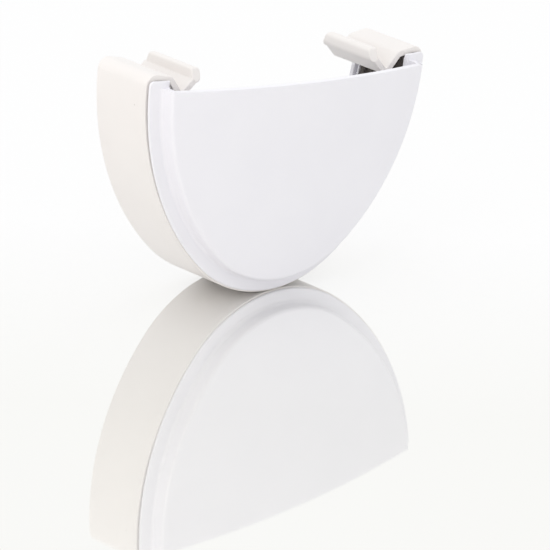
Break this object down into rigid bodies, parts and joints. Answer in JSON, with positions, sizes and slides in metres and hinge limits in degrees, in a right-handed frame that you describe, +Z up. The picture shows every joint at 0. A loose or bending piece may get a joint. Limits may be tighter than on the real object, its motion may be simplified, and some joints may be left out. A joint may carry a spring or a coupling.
{
  "type": "gutter end cap",
  "caption": "External stop end for a deep elliptical gutter: a domed end plate, a socket with a ribbed rubber seal, and a strap that clips over the gutter's lips.",
  "frame": {"origin": "middle of the footprint at the bottom, under the lowest line of the strap", "axes": "+X across the gutter, +Y along the gutter out of the socket's mouth with the end plate facing -Y, +Z up"},
  "size_m": [0.132, 0.0412, 0.0869],
  "materials": {
    "white_upvc": "semi-gloss moulded uPVC",
    "strap_upvc": "satin moulded uPVC",
    "black_epdm": "matte EPDM rubber"
  },
  "bodies": {
    "root": {"end_body": "white_upvc", "rubber_seal": "black_epdm", "clip_strap": "strap_upvc"}
  },
  "joints": []
}
